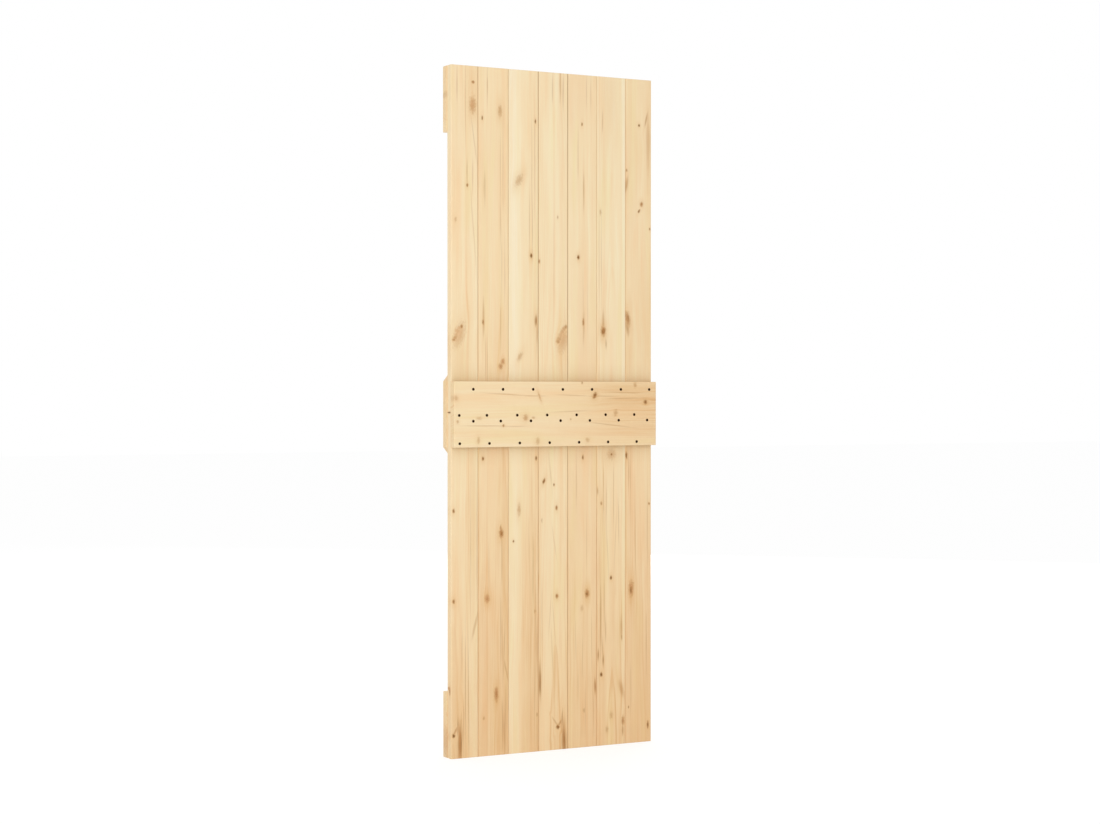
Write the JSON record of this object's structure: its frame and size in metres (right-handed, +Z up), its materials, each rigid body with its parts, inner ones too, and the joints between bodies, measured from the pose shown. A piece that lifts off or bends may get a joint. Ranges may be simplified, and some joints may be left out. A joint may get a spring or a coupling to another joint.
{
  "type": "barn door leaf",
  "caption": "Boarded pine sliding door leaf: upright tongue-and-groove boards, a screwed back rail, and rails with slanting braces on the front",
  "frame": {"origin": "middle of the outer face of the front top rail, where the hanger straps are bolted on", "axes": "+Z up the door, +Y straight out of the front, +X to the right for someone looking at the back"},
  "size_m": [0.7, 0.084, 2.1],
  "materials": {
    "pine_boards": "planed, unfinished",
    "pine_rails": "planed, unfinished",
    "screw_steel": "dark phosphate"
  },
  "bodies": {
    "root": {"board_1": "pine_boards", "board_2": "pine_boards", "board_3": "pine_boards", "board_4": "pine_boards", "board_5": "pine_boards", "board_6": "pine_boards", "board_7": "pine_boards", "back_middle_rail": "pine_rails", "front_top_rail": "pine_rails", "front_middle_rail": "pine_rails", "front_bottom_rail": "pine_rails", "front_upper_brace": "pine_rails", "front_lower_brace": "pine_rails"}
  },
  "joints": []
}
